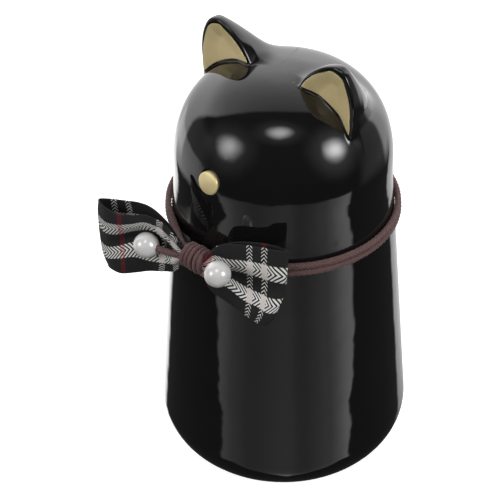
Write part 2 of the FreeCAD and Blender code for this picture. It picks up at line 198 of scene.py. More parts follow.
def make_world():
    """Dark studio with soft boxes all round; the backdrop that the camera sees is plain and pale."""
    world = bpy.data.worlds.new("studio")
    bpy.context.scene.world = world
    world.use_nodes = True
    net = Net(world.node_tree)
    direction = net.node("ShaderNodeTexCoord").outputs["Generated"]
    ahead = net.dot(direction, (math.sin(CAMERA_AZIMUTH), -math.cos(CAMERA_AZIMUTH), 0))
    aside = net.dot(direction, (math.cos(CAMERA_AZIMUTH), math.sin(CAMERA_AZIMUTH), 0))
    rise = net.dot(direction, (0, 0, 1))
    turn = net.math("DEGREES", net.math("ARCTAN2", aside, ahead))
    lift = net.math("DEGREES", net.math("ARCSINE", rise))

    def window(value, low, high, soft):
        up = net.step(value, low - soft, low + soft)
        down = net.step(value, high - soft, high + soft, 1.0, 0.0)
        return net.math("MULTIPLY", up, down)

    def add(total, light, level=None):
        return net.math("ADD", total, light if level is None else net.math("MULTIPLY", light, level))

    # broad low panel in front
    low_panel = net.ramp(turn, -90, 90, FRONT_PANEL)
    below = net.math("MINIMUM", net.math("SUBTRACT", lift, NARROWS_BELOW), 0.0)
    reach = net.math("ADD", net.math("MULTIPLY", below, NARROWING), PANEL_HALF)
    off_middle = net.math("ABSOLUTE", net.math("SUBTRACT", turn, PANEL_MIDDLE))
    beyond = net.math("SUBTRACT", off_middle, reach)
    panel = net.math("MULTIPLY", net.step(beyond, -3, 1, 1.0, 0.0), net.step(lift, -24, -27, 0.0, 1.0))
    panel = net.math("MULTIPLY", panel, net.step(lift, -50, -66, 1.0, 3.2))
    total = net.math("MULTIPLY", low_panel, panel)

    # three small lamps
    for lamp_turn, lamp_lift, half_width, half_height, level in LAMPS:
        centre = direction_at(lamp_turn, lamp_lift)
        angle = CAMERA_AZIMUTH + math.radians(lamp_turn)
        across = Vector((math.cos(angle), math.sin(angle), 0))
        upward = centre.cross(across)
        x = net.math("DIVIDE", net.dot(direction, across), math.sin(math.radians(half_width)))
        y = net.math("DIVIDE", net.dot(direction, upward), math.sin(math.radians(half_height)))
        spread = net.math("SQRT", net.math("ADD", net.math("MULTIPLY", x, x), net.math("MULTIPLY", y, y)))
        ahead_only = net.step(net.dot(direction, centre), 0.3, 0.5)
        core = net.step(spread, 0.1, 1.75, level, 0.0)
        halo = net.step(spread, 0.6, 3.4, 0.06 * level, 0.0)
        total = add(total, net.math("MULTIPLY", net.math("ADD", core, halo), ahead_only))

    # large overhead and rear light
    threshold = net.step(lift, 0, 50, 0.5, 0.17)
    behind = net.math("SUBTRACT", net.math("MULTIPLY", ahead, -1.0), threshold)
    rear = net.step(behind, -0.04, 0.06)
    level = net.ramp(lift, -90, 90, REAR_LEVELS)
    side_limit = net.step(lift, -30, -18, 0.0, 1.0)
    strip = window(turn, 137, 186, 3)
    rear_share = net.math("MAXIMUM", side_limit, strip)
    total = add(total, net.math("MULTIPLY", rear, rear_share), level)

    # pale table and wall far behind on the left, and a tall light beside them
    edge = net.math("MULTIPLY", window(turn, -186, -143, 4), window(lift, -52, -24, 5))
    total = add(total, edge, 1.8)
    tall = net.math("MULTIPLY", window(turn, -146, -88, 6), window(lift, -31, -10, 1.5))
    total = add(total, tall, 0.85)

    # faint fill at the sides
    sides = window(net.math("ABSOLUTE", turn), 84, 130, 8)
    total = add(total, net.math("MULTIPLY", sides, window(lift, -24, 18, 6)), 0.22)
    total = add(total, AMBIENT)

    studio = net.node("ShaderNodeBackground", {"Color": total})
    backdrop = net.node("ShaderNodeBackground", {"Color": grey(1.0)})
    seen = net.node("ShaderNodeLightPath").outputs["Is Camera Ray"]
    chosen = net.node("ShaderNodeMixShader", {0: seen, 1: studio.outputs[0], 2: backdrop.outputs[0]})
    net.node("ShaderNodeOutputWorld", {"Surface": chosen.outputs[0]})


def area_light(name, turn, lift, distance, size, power):
    """Soft light that shines on cloth, cord and floor without showing in the glaze."""
    data = bpy.data.lights.new(name, "AREA")
    data.shape = "DISK"
    data.size = size
    data.energy = power
    toward = direction_at(turn, lift)
    light = bpy.data.objects.new(name, data)
    light.location = Vector((0, 0, LIT_HEIGHT)) + toward * distance
    light.rotation_mode = "QUATERNION"
    light.rotation_quaternion = toward.to_track_quat("Z", "Y")
    light.visible_glossy = False
    bpy.context.scene.collection.objects.link(light)


def make_floor():
    material, net, shader = new_material("pale_floor")
    net.fill(shader, {"Base Color": grey(0.6), "Roughness": 0.9,
                      "Emission Color": grey(1.0), "Emission Strength": 0.8})
    corners = [(x * FLOOR_HALF, y * FLOOR_HALF, 0) for x, y in ((-1, -1), (1, -1), (1, 1), (-1, 1))]
    mesh = bpy.data.meshes.new("floor")
    mesh.from_pydata(corners, [], [(0, 1, 2, 3)])
    floor = bpy.data.objects.new("floor", mesh)
    floor.location.z = -FLOOR_GAP
    mesh.materials.append(material)
    bpy.context.scene.collection.objects.link(floor)
    floor.visible_glossy = False
    floor.visible_diffuse = False


make_world()
area_light("overhead", 20, 75, 0.8, 0.9, 1.6)
area_light("front_fill", -38, 22, 0.9, 0.6, 2.2)
make_floor()


# ---------------------------------------------------------------- materials
def glaze_material():
    """Thick black glaze: mirror gloss over a faintly uneven surface."""
    material, net, shader = new_material("black_glaze")
    place = net.place()
    mottle = net.noise(place, 60, 4)
    waves = net.bump(net.noise(place, 42), 0.00034)
    net.fill(shader, {
        "Base Color": net.mix(mottle, (0.0035, 0.0035, 0.0038, 1), (0.0065, 0.0062, 0.006, 1)),
        "Roughness": 0.035,
        "IOR": 1.5,
        "Normal": net.bump(net.noise(place, 190), 0.00001, normal=waves),
    })
    return material


def gold_material():
    """Satin gold lustre, slightly cloudy and grainy where it was brushed on."""
    material, net, shader = new_material("gold_lustre")
    place = net.place()
    cloud = net.noise(place, 170, 4)
    net.fill(shader, {
        "Base Color": net.mix(cloud, (0.66, 0.53, 0.265, 1), (0.84, 0.70, 0.385, 1)),
        "Metallic": 0.4,
        "Specular IOR Level": 0.5,
        "Roughness": net.step(cloud, 0.2, 0.8, 0.36, 0.50),
        "Normal": net.bump(net.noise(place, 2600), 0.00001),
    })
    return material


def rubber_material():
    material, net, shader = new_material("stopper_rubber")
    place = net.place()
    dust = net.noise(place, 400, 4)
    net.fill(shader, {
        "Base Color": net.mix(dust, (0.022, 0.022, 0.023, 1), (0.05, 0.05, 0.05, 1)),
        "Roughness": net.step(dust, 0.3, 0.7, 0.55, 0.75),
        "Normal": net.bump(net.noise(place, 3000), 0.00002),
    })
    return material


FIBRES = 2 * math.pi * 6   # six crossing fibres each way round the cord


def cord_material():
    """Braided brown thread; the braid itself is in the mesh, the fibres are here, with painted shade in the
    dips between them.
    """
    material, net, shader = new_material("elastic_cord")
    along, around = net.texture("cord")
    waves = [net.math("SINE", net.math("MULTIPLY", net.math(way, along, around), FIBRES))
             for way in ("ADD", "SUBTRACT")]
    fibres = net.math("MULTIPLY", net.math("ADD", waves[0], waves[1]), 0.5)
    base = net.mix(net.noise(net.place(), 700, 3), (0.10, 0.048, 0.047, 1), (0.165, 0.090, 0.088, 1))
    net.fill(shader, {
        # painted shade: the colour darkens to near black where the fibres sink between their crossings
        "Base Color": net.mix(net.step(fibres, -0.95, 0.6, 0.9, 0.0), base, (0.024, 0.010, 0.010, 1)),
        "Roughness": 0.82,
        "Sheen Weight": 0.2,
        "Sheen Roughness": 0.5,
        "Sheen Tint": (0.8, 0.62, 0.6, 1),
        "Normal": net.bump(fibres, 0.00004, 0.8),
    })
    return material


def pearl_material():
    material, net, shader = new_material("pearl")
    place = net.place()
    net.fill(shader, {
        "Base Color": net.mix(net.noise(place, 350, 3), (0.52, 0.516, 0.512, 1), (0.58, 0.576, 0.567, 1)),
        "Roughness": 0.3,
        "IOR": 1.75,
        "Coat Weight": 1.0,
        "Coat IOR": 1.6,
        "Coat Roughness": 0.13,
        "Sheen Weight": 0.15,
        "Subsurface Weight": 0.12,
        "Subsurface Radius": (0.0012, 0.001, 0.0009),
        "Subsurface Scale": 1.0,
        "Normal": net.bump(net.noise(place, 1500), 0.000003),
    })
    return material


# plaid of the ribbon, in millimetres: along the strip and across it
PLAID_REPEAT = 34.4
CROSS_PAIR_AT = 21.1
CROSS_APART = 2.6
CROSS_HALF = 1.05
RED_AT = CROSS_PAIR_AT - PLAID_REPEAT / 2
RED_HALF = 0.75
BAND_CENTRES = (5.0, -5.0)
BAND_HALF = 2.35
HATCH = 1.32              # from one herringbone thread to the next
TWILL = 0.46
UV_SCALE = 100.0          # millimetres of cloth in one unit of the texture


def ribbon_material():
    """Woven plaid: herringbone bands along the ribbon, a pair of thin bands and a red line across it."""
    material, net, shader = new_material("plaid_ribbon")
    along, across = [net.math("MULTIPLY", share, UV_SCALE) for share in net.texture("strip")]

    def repeat_from(centre):
        moved = net.math("SUBTRACT", along, centre - PLAID_REPEAT / 2)
        return net.math("SUBTRACT", net.math("FLOORED_MODULO", moved, PLAID_REPEAT), PLAID_REPEAT / 2)

    def stripe(offset, half, soft=0.05):
        return net.step(net.math("ABSOLUTE", offset), half - soft, half + soft, 1.0, 0.0)

    def hatch(run, offset, slope, duty):
        phase = net.math("ADD", run, net.math("MULTIPLY", net.math("ABSOLUTE", offset), slope))
        wave = net.math("FRACT", net.math("DIVIDE", phase, HATCH))
        rise = net.step(wave, 0.0, 0.07)
        return net.math("MULTIPLY", rise, net.step(wave, duty, duty + 0.07, 1.0, 0.0))

    bands, band_hatch = None, None
    for centre in BAND_CENTRES:
        offset = net.math("SUBTRACT", across, centre)
        mask = stripe(offset, BAND_HALF)
        lines = net.math("MULTIPLY", mask, hatch(along, offset, 1.0, 0.52))
        bands = mask if bands is None else net.math("MAXIMUM", bands, mask)
        band_hatch = lines if band_hatch is None else net.math("MAXIMUM", band_hatch, lines)
    pair = net.math("SUBTRACT", net.math("ABSOLUTE", repeat_from(CROSS_PAIR_AT)), CROSS_APART)
    cross = stripe(pair, CROSS_HALF)
    cross_hatch = net.math("MULTIPLY", cross, hatch(across, pair, 1.1, 0.27))
    red_hatch = net.math("MULTIPLY", hatch(across, repeat_from(RED_AT), 0.9, 0.62), 0.75)
    red = net.math("MULTIPLY", stripe(repeat_from(RED_AT), RED_HALF), net.math("ADD", red_hatch, 0.25))
    twill = net.math("FRACT", net.math("DIVIDE", net.math("ADD", along, across), TWILL))
    twill = net.step(net.math("ABSOLUTE", net.math("SUBTRACT", twill, 0.5)), 0.1, 0.4)

    fuzz = net.noise(net.place(), 2200, 3)
    ground = net.mix(twill, (0.0025, 0.0028, 0.0028, 1), (0.019, 0.0195, 0.0195, 1))
    red_on_ground = net.math("MULTIPLY", red, net.step(twill, 0.1, 0.9, 0.25, 1.0))
    ground = net.mix(red_on_ground, ground, (0.14, 0.010, 0.020, 1))
    white = net.mix(fuzz, (0.52, 0.52, 0.50, 1), (0.70, 0.695, 0.67, 1))
    white = net.mix(net.math("MULTIPLY", red, 0.7), white, (0.42, 0.10, 0.11, 1))
    cream = net.mix(fuzz, (0.46, 0.42, 0.40, 1), (0.58, 0.54, 0.515, 1))
    colour = net.mix(cross_hatch, ground, white)
    colour = net.mix(bands, colour, ground)
    colour = net.mix(band_hatch, colour, white)
    crossing = net.math("MULTIPLY", bands, cross)
    colour = net.mix(crossing, colour, cream)
    threads = net.math("MAXIMUM", band_hatch, cross_hatch)
    threads = net.math("MAXIMUM", threads, net.math("MULTIPLY", twill, 0.5))
    threads = net.math("ADD", threads, net.math("MULTIPLY", fuzz, 0.3))
    net.fill(shader, {
        "Base Color": colour,
        "Roughness": 0.8,
        "Specular IOR Level": 0.25,
        "Sheen Weight": 0.05,
        "Sheen Roughness": 0.35,
        "Normal": net.bump(threads, 0.00005, 0.5),
    })
    return material


MATERIALS = {
    "black_glaze": glaze_material(),
    "gold_lustre": gold_material(),
    "stopper_rubber": rubber_material(),
    "elastic_cord": cord_material(),
    "plaid_ribbon": ribbon_material(),
    "pearl": pearl_material(),
}
nodes["stopper"].material_slots[0].link = "OBJECT"
nodes["stopper"].material_slots[0].material = MATERIALS["stopper_rubber"]


# ---------------------------------------------------------------- mesh helpers
def grid_faces(rows, columns, rows_close=False, columns_close=False, start=0, flip=False):
    """Quads between neighbours in rows of vertices that are numbered from start."""
    faces = []
    for i in range(rows if rows_close else rows - 1):
        j = (i + 1) % rows
        for k in range(columns if columns_close else columns - 1):
            m = (k + 1) % columns
            face = (i * columns + k, i * columns + m, j * columns + m, j * columns + k)
            faces.append(tuple(start + n for n in (face[:1] + face[:0:-1] if flip else face)))
    return faces


def mesh_object(name, vertices, faces, slot, body, uv_name=None, uvs=None):
    """A new smooth piece that rides on a body; uvs holds one pair for each vertex."""
    mesh = bpy.data.meshes.new(name)
    mesh.from_pydata([tuple(v) for v in vertices], [], faces)
    if uv_name is not None:
        layer = mesh.uv_layers.new(name=uv_name)
        loop_vertices = np.zeros(len(mesh.loops), np.int32)
        mesh.loops.foreach_get("vertex_index", loop_vertices)
        layer.data.foreach_set("uv", np.asarray(uvs, np.float32)[loop_vertices].ravel())
    mesh.materials.append(MATERIALS[slot])
    mesh.polygons.foreach_set("use_smooth", [True] * len(mesh.polygons))
    mesh.update()
    made = bpy.data.objects.new(name, mesh)
    bpy.context.scene.collection.objects.link(made)
    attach(made, body)
    return made


def resample(points, spacing, closed):
    """Evenly spaced points along a line through the given ones."""
    points = np.asarray(points, float)
    if closed:
        points = np.vstack([points, points[:1]])
    steps = np.linalg.norm(np.diff(points, axis=0), axis=1)
    run = np.concatenate([[0], np.cumsum(steps)])
    count = max(4, int(round(run[-1] / spacing)))
    wanted = np.linspace(0, run[-1], count + 1)
    if closed:
        wanted = wanted[:-1]
    return np.stack([np.interp(wanted, run, points[:, k]) for k in range(3)], axis=1), run[-1]


BRAID_COUNT = 6
BRAID_PITCH = 0.0018
BRAID_DEPTH = 0.14


def braided_cord(name, path, radius, body, closed=False, spacing=0.00022, around=24):
    """Tube with a raised diamond braid that follows a line; its open ends are closed with rounded caps."""
    line, length = resample(path, spacing, closed)
    count = len(line)
    if closed:
        tangent = np.roll(line, -1, 0) - np.roll(line, 1, 0)
    else:
        tangent = np.gradient(line, axis=0)
    tangent /= np.linalg.norm(tangent, axis=1)[:, None]
    normal = np.zeros_like(line)
    seed = np.array([0, 0, 1.0]) if abs(tangent[0][2]) < 0.9 else np.array([0, 1.0, 0])
    current = seed - tangent[0] * (seed @ tangent[0])
    for k in range(count):
        current = current - tangent[k] * (current @ tangent[k])
        current /= np.linalg.norm(current)
        normal[k] = current
    side = np.cross(tangent, normal)
    theta = np.linspace(0, 2 * math.pi, around + 1)
    run = np.arange(count) * (length / (count if closed else count - 1))
    pitch = length / max(1, round(length / BRAID_PITCH)) if closed else BRAID_PITCH
    turns = BRAID_COUNT * theta / (2 * math.pi)
    weave = np.cos(math.pi * (turns[None, :] + run[:, None] / pitch)) ** 2
    weave = weave * np.cos(math.pi * (turns[None, :] - run[:, None] / pitch)) ** 2
    swell = 1 - BRAID_DEPTH + BRAID_DEPTH * 1.4 * weave
    end = np.ones(count)
    if not closed:
        near = np.minimum(run, length - run)
        end = np.sqrt(np.clip(1 - (1 - np.clip(near / (0.6 * radius), 0, 1)) ** 2, 0.02, 1))
    reach = radius * swell * end[:, None]
    vertices = (
        line[:, None, :]
        + reach[..., None] * np.cos(theta)[None, :, None] * normal[:, None, :]
        + reach[..., None] * np.sin(theta)[None, :, None] * side[:, None, :]
    )
    # the last column repeats the first, so the mesh leaves it out
    flat = vertices[:, :around].reshape(-1, 3)
    along, about = run[:, None] / (2 * math.pi * radius), theta[None, :around] / (2 * math.pi)
    uv = np.stack(np.broadcast_arrays(along, about), -1)
    faces = grid_faces(count, around, rows_close=closed, columns_close=True)
    if not closed:
        faces.append(tuple(range(around - 1, -1, -1)))
        faces.append(tuple((count - 1) * around + k for k in range(around)))
    return mesh_object(name, flat, faces, "elastic_cord", body, "cord", uv.reshape(-1, 2))


# ---------------------------------------------------------------- softly rounded ears
# All in millimetres.  An ear has its own frame: origin at its tip, z down its length, y to the back.
HEAD_RADIUS, HEAD_START, BODY_TOP, DOME_POWER = 34.4, 107.3, 141.8, 2.6
EAR_TIP_X, EAR_FACE_Y, EAR_TIP_Z = 24.3, -4.5, 152.6
EAR_LEAN = math.radians(19.6)
EAR_WIDTH, EAR_LENGTH = 10.4, 16.0
EAR_RIM, EAR_HOLLOW, GOLD_RIM = 1.15, 1.3, 0.85
EAR_TIP_DEPTH, EAR_DEPTH_GAIN = 3.0, 14.0   # front to back at the tip, and more over the ear's length
EAR_DEPTH_END = 19.0                        # the back of an ear goes no deeper below this
EAR_BACK_POWER = 2.3
CAD_ABOVE = 0.12      # CAD faces that stand this far above the dome belong to the sharp ears
CAD_TOUCH = 0.02      # so do lower ones that an ear patch covers
PATCH_COVER = 1.0     # how far from an ear's blend its patch is sure to reach
PATCH_REACH = 1.2
PATCH_LIFT = 0.02     # keeps a patch just above the dome
PATCH_LOW, PATCH_SIZE = (21.0, -9.5, 106.0), (41.2, 38.0, 48.5)
GILDING_TOP, GILDING_END = 2.2, 30.0
GILDING_LIFT, GILDING_SINK = 0.075, -0.12


def dome_distance(p):
    """Distance above the dome, accurate near it."""
    r = np.hypot(p[..., 0], p[..., 1]) / HEAD_RADIUS
    h = np.clip((p[..., 2] - HEAD_START) / (BODY_TOP - HEAD_START), 0, None)
    total = r ** DOME_POWER + h ** DOME_POWER
    level = total ** (1 / DOME_POWER)
    scale = total ** (1 / DOME_POWER - 1)
    slope = np.hypot(scale * r ** (DOME_POWER - 1) / HEAD_RADIUS,
                     scale * h ** (DOME_POWER - 1) / (BODY_TOP - HEAD_START))
    return (level - 1) / slope


def to_ear(p, side):
    turn = math.pi + side * EAR_LEAN
    q = p - np.array((side * EAR_TIP_X, EAR_FACE_Y, EAR_TIP_Z))
    return (q[..., 0] * math.cos(turn) - q[..., 2] * math.sin(turn), q[..., 1],
            q[..., 0] * math.sin(turn) + q[..., 2] * math.cos(turn))


def from_ear(x, y, z, side):
    turn = math.pi + side * EAR_LEAN
    return np.stack([x * math.cos(turn) + z * math.sin(turn) + side * EAR_TIP_X, y + EAR_FACE_Y,
                     -x * math.sin(turn) + z * math.cos(turn) + EAR_TIP_Z], -1)


def smooth_step(value, low, high):
    share = np.clip((value - low) / (high - low), 0, 1)
    return share * share * (3 - 2 * share)


def smooth_max(a, b, reach):
    overlap = np.maximum(reach - np.abs(a - b), 0) / reach
    return np.maximum(a, b) + overlap ** 3 * reach / 6


def ear_outline(z):
    rest = np.clip(1 - z / EAR_LENGTH, 0, 1)
    return EAR_WIDTH * np.clip(1 - rest ** 1.7, 1e-4, 1) ** 0.62 + ear_shift(z)


def ear_shift(z):
    """The outer edge of an ear runs on down the head while the inner one stays upright."""
    return 0.11 * np.clip(z - 13.0, 0, None)


def ear_side_distance(x, z):
    """Distance outside the ear's pointed outline, negative inside, from the front."""
    below_tip, step = np.maximum(z, 0.02), 0.05
    outline = ear_outline(below_tip)
    grow = (ear_outline(below_tip + step) - outline) / step
    return np.maximum(np.abs(x) - outline, -z) / np.hypot(1, np.clip(grow, 0, 4))


def front_surface(x, z):
    """How far the hollowed face lies behind the rim."""
    inside = -ear_side_distance(x, z)
    return EAR_HOLLOW * smooth_step(inside, EAR_RIM * 0.5, EAR_RIM + 5.5)


def ear_distance(p, side):
    """Distance outside a whole ear: round at the back, hollowed in front."""
    x, y, z = to_ear(p, side)
    x = x + side * ear_shift(z)
    down = -smooth_max(-z, np.full_like(z, -EAR_DEPTH_END), 6.0)
    depth = EAR_TIP_DEPTH + EAR_DEPTH_GAIN * np.clip(down, 0, None) / EAR_LENGTH
    outline = ear_outline(np.maximum(z, 0.02))
    u, v, power = np.abs(x) / outline, np.maximum(y, 0) / depth, EAR_BACK_POWER
    ratio = np.maximum(u ** power + v ** power, 1e-9) ** (1 / power)
    slope = np.hypot(u ** (power - 1) / outline, v ** (power - 1) / depth)
    slope = slope / np.maximum(ratio, 1e-6) ** (power - 1)
    back = (ratio - 1) / np.maximum(slope, 1e-3)
    back = smooth_max(back, -z + 0.25, 1.6)
    return smooth_max(back, front_surface(x, z) - y, 1.5) + 0.10


def head_distance(p, side):
    """Dome with one ear run into it: a wide blend at the back, a narrow one in front."""
    body, ear = dome_distance(p), ear_distance(p, side)
    _, y, _ = to_ear(p, side)
    reach = 1.2 + 4.8 * smooth_step(y, 0.5, 4.5)
    return -smooth_max(-body, -ear, reach), ear - reach


def ear_patch(side, pitch=0.42):
    """Net of quads over an ear and the strip of dome around it, with exact normals."""
    low = np.array((side * PATCH_LOW[0] - PATCH_SIZE[0] / 2, PATCH_LOW[1], PATCH_LOW[2]))
    counts = (np.array(PATCH_SIZE) / pitch).astype(int)
    axes = [low[k] + pitch * np.arange(counts[k]) for k in range(3)]
    grid = np.stack(np.meshgrid(*axes, indexing="ij"), -1)
    value = head_distance(grid, side)[0]
    inside = value < 0
    weight = np.zeros(tuple(counts - 1))
    middle = np.zeros(tuple(counts - 1) + (3,))
    corner = [(i, j, k) for i in (0, 1) for j in (0, 1) for k in (0, 1)]

    def view(array, c):
        return array[c[0]:counts[0] - 1 + c[0], c[1]:counts[1] - 1 + c[1], c[2]:counts[2] - 1 + c[2]]

    for a in corner:
        for axis in range(3):
            if a[axis]:
                continue
            b = tuple(1 if k == axis else a[k] for k in range(3))
            va, vb = view(value, a), view(value, b)
            cross = (va < 0) != (vb < 0)
            share = np.where(cross, va / np.where(cross, va - vb, 1), 0)
            place = view(grid, a) + share[..., None] * (view(grid, b) - view(grid, a))
            middle += place * cross[..., None]
            weight += cross
    used = weight > 0
    number = np.full(used.shape, -1)
    number[used] = np.arange(used.sum())
    points = middle[used] / weight[used][:, None]
    quads = []
    for axis in range(3):
        u, v = (axis + 1) % 3, (axis + 2) % 3
        span = [slice(1, counts[k] - 1) for k in range(3)]
        ahead = list(span)
        ahead[axis] = slice(2, counts[axis])
        first, second = inside[tuple(span)], inside[tuple(ahead)]
        where = np.argwhere(first != second) + 1
        out = first[tuple((where - 1).T)]
        shift_u, shift_v = np.eye(3, dtype=int)[u], np.eye(3, dtype=int)[v]
        ring = [number[tuple((where - shift_u - shift_v).T)], number[tuple((where - shift_v).T)],
                number[tuple(where.T)], number[tuple((where - shift_u).T)]]
        ring = np.stack(ring, 1)
        ring[~out] = ring[~out][:, ::-1]
        quads.append(ring)
    quads = np.concatenate(quads)
    quads = quads[(quads >= 0).all(1)]

    def gradient(p, small=0.04):
        slopes = []
        for nudge in np.eye(3) * small:
            rise = head_distance(p + nudge, side)[0] - head_distance(p - nudge, side)[0]
            slopes.append(rise / (2 * small))
        return np.stack(slopes, -1)

    for _ in range(6):
        slope = gradient(points)
        off = head_distance(points, side)[0] - PATCH_LIFT
        points = points - np.clip(off / np.maximum((slope ** 2).sum(1), 0.05), -0.3, 0.3)[:, None] * slope
    normal = gradient(points)
    normal /= np.linalg.norm(normal, axis=1)[:, None]
    near = head_distance(points, side)[1] < PATCH_REACH
    quads = quads[near[quads].all(1)]
    return points, normal, quads


def make_head():
    """The CAD body with its sharp ears taken off and rounded ones put on."""
    source = nodes["ceramic_body"]
    mesh = source.data
    points = np.zeros(len(mesh.vertices) * 3)
    mesh.vertices.foreach_get("co", points)
    points = points.reshape(-1, 3)
    matrix = np.array(source.matrix_world)
    points = (points @ matrix[:3, :3].T + matrix[:3, 3]) / MM
    normals = np.zeros(len(mesh.loops) * 3)
    mesh.corner_normals.foreach_get("vector", normals)
    normals = normals.reshape(-1, 3)
    above = np.where(points[:, 2] > HEAD_START + 4, dome_distance(points), 0)
    covered = np.minimum(head_distance(points, 1)[1], head_distance(points, -1)[1]) < PATCH_COVER
    faces, loop_normals = [], []
    for polygon in mesh.polygons:
        corners = list(polygon.vertices)
        highest = above[corners].max()
        if highest < CAD_ABOVE and not (highest > CAD_TOUCH and covered[corners].all()):
            faces.append(tuple(polygon.vertices))
            loop_normals.append(normals[polygon.loop_start:polygon.loop_start + polygon.loop_total])
    all_points, count = [points], len(points)
    for side in (1, -1):
        patch, normal, quads = ear_patch(side)
        faces.extend(map(tuple, (quads + count).tolist()))
        loop_normals.append(normal[quads.ravel()])
        all_points.append(patch)
        count += len(patch)
    head = mesh_object("ceramic_body_glazed", np.concatenate(all_points) * MM, faces, "black_glaze", "cat")
    head.data.normals_split_custom_set(np.concatenate(loop_normals).tolist())
    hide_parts("ceramic_body")


def make_gilding(side, node):
    """Thin layer of lustre brushed into the hollow of an ear."""
    across, down = 48, 64
    shares = np.linspace(-1, 1, across)
    limit = np.full(across, GILDING_END)
    for k, share in enumerate(shares):
        for z in np.arange(GILDING_TOP, GILDING_END, 0.05):
            x = share * (ear_outline(z) - GOLD_RIM)
            if dome_distance(from_ear(x - side * ear_shift(z), front_surface(x, z), z, side)) < 0.9:
                limit[k] = z
                break
    u = np.tile(shares, (down, 1))
    v = np.linspace(0, 1, down)[:, None] ** 1.3
    z = GILDING_TOP + (limit[None, :] - GILDING_TOP) * v
    # brushed a little unevenly along its edge, and rounded at its top
    brushed = ear_outline(z) - GOLD_RIM + 0.05 * np.sin(9 * u + 3 * v) * np.abs(u)
    start = np.sqrt(np.clip(1 - shares ** 2, 0, 1))
    z = z + (1 - v) * (1 - start)[None, :] * 1.6
    x = u * np.minimum(np.abs(brushed), ear_outline(z) - GOLD_RIM)
    y = front_surface(x, z)
    step = 0.02
    slope_x = (front_surface(x + step, z) - front_surface(x - step, z)) / (2 * step)
    slope_z = (front_surface(x, z + step) - front_surface(x, z - step)) / (2 * step)
    length = np.sqrt(1 + slope_x ** 2 + slope_z ** 2)
    out = np.stack([slope_x, -np.ones_like(y), slope_z], -1) / length[..., None]
    layers = []
    for lift in (GILDING_LIFT, GILDING_SINK):
        moved = np.stack([x, y, z], -1) + out * lift
        along = moved[..., 2]
        layer = from_ear(moved[..., 0] - side * ear_shift(along), moved[..., 1], along, side)
        layers.append(layer.reshape(-1, 3))
    shift = across * down
    faces = grid_faces(down, across) + grid_faces(down, across, start=shift, flip=True)
    border = list(range(across)) + [i * across + across - 1 for i in range(1, down)]
    border += [(down - 1) * across + k for k in range(across - 2, -1, -1)]
    border += [i * across for i in range(down - 2, 0, -1)]
    for a, b in zip(border, border[1:] + border[:1]):
        faces.append((a, shift + a, shift + b, b))
    gilding = mesh_object(node + "_lustre", np.concatenate(layers) * MM, faces, "gold_lustre", "cat")
    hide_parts(node)


NOSE_TILT = math.radians(9)
NOSE_SINK = 1.95
NOSE_OFFSET = (-0.45, 0, -0.85)   # a little to one side and low
NOSE_PROFILE = [  # radius and rise, from the middle out to the edge
    (0.0, 1.42), (0.8, 1.39), (1.6, 1.30), (2.4, 1.13), (2.9, 1.02), (3.25, 0.93), (3.5, 0.76),
    (3.64, 0.50), (3.68, 0.1), (3.66, -0.9),
]


def make_nose():
    """Low button with a soft edge, brushed with lustre."""
    low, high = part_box("nose")
    outward = np.array((0, -math.cos(NOSE_TILT), math.sin(NOSE_TILT)))
    up = np.array((0, math.sin(NOSE_TILT), math.cos(NOSE_TILT)))
    across = np.array((1.0, 0, 0))
    middle = np.array((0, low[1] / MM, np.array((low + high) / 2)[2] / MM))
    middle = middle - outward * NOSE_SINK + np.array(NOSE_OFFSET)
    around = 64
    vertices = [middle + outward * NOSE_PROFILE[0][1]]
    for radius, rise in NOSE_PROFILE[1:]:
        for k in range(around):
            turn = 2 * math.pi * k / around
            uneven = 1 + 0.012 * math.sin(2 * turn + 0.7) + 0.006 * math.sin(5 * turn)
            sideways = (across * math.cos(turn) + up * math.sin(turn)) * radius * uneven
            vertices.append(middle + outward * rise + sideways)
    faces = [(0, 1 + (k + 1) % around, 1 + k) for k in range(around)]
    faces += grid_faces(len(NOSE_PROFILE) - 1, around, columns_close=True, start=1)
    nose = mesh_object("nose_button", np.array(vertices) * MM, faces, "gold_lustre", "cat")
    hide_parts("nose")


make_head()
make_nose()
make_gilding(1, "left_ear_gilding")
make_gilding(-1, "right_ear_gilding")


# ---------------------------------------------------------------- knot position and neck cord
wrapping_low, wrapping_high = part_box("bow_wrapping")
KNOT = np.array((wrapping_low + wrapping_high) / 2)
WRAP_OUTER = (wrapping_high.z - wrapping_low.z) / 2
WRAP_LENGTH = wrapping_high.x - wrapping_low.x
CORD_RADIUS = 1.05 * MM
STRAND_BACK = 0.79 * MM
STRAND_SNUG = 0.36 * MM      # the stretched ring lies closer to the glaze than its CAD stand-in
KNOT_BEND = 8.0 * MM
WRAP_TURNS = 5
WRAP_RADIUS = 0.825 * MM


def neck_path(node, wander):
    """Line of a strand: round the neck, in to the knot and straight through it."""
    low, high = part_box(node)
    height = (low.z + high.z) / 2
    ring = high.y - CORD_RADIUS - STRAND_SNUG
    front = -KNOT[1] - STRAND_BACK
    straight = WRAP_LENGTH / 2
    centre = front - KNOT_BEND
    reach = math.hypot(straight, centre)
    leave = math.atan2(straight, centre) + math.acos((ring - KNOT_BEND) / reach)
    right = []
    for angle in np.linspace(math.pi, leave, 160):
        right.append((ring * math.sin(angle), -ring * math.cos(angle)))
    for angle in np.linspace(leave, 0, 16):
        right.append((straight + KNOT_BEND * math.sin(angle), -centre - KNOT_BEND * math.cos(angle)))
    left = [(-x, y) for x, y in reversed(right[1:])]
    line = []
    for x, y in right + left:
        angle = math.atan2(x, -y)
        lift = wander * math.sin(2.3 * angle + 0.8) * min(1, abs(angle) / 0.5)
        line.append((x, y, height + lift))
    return line


for node, wander in (("neck_cord_upper", 0.12 * MM), ("neck_cord_lower", -0.05 * MM)):
    strand = braided_cord(node + "_braid", neck_path(node, wander), CORD_RADIUS, "collar", closed=True)
    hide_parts(node)


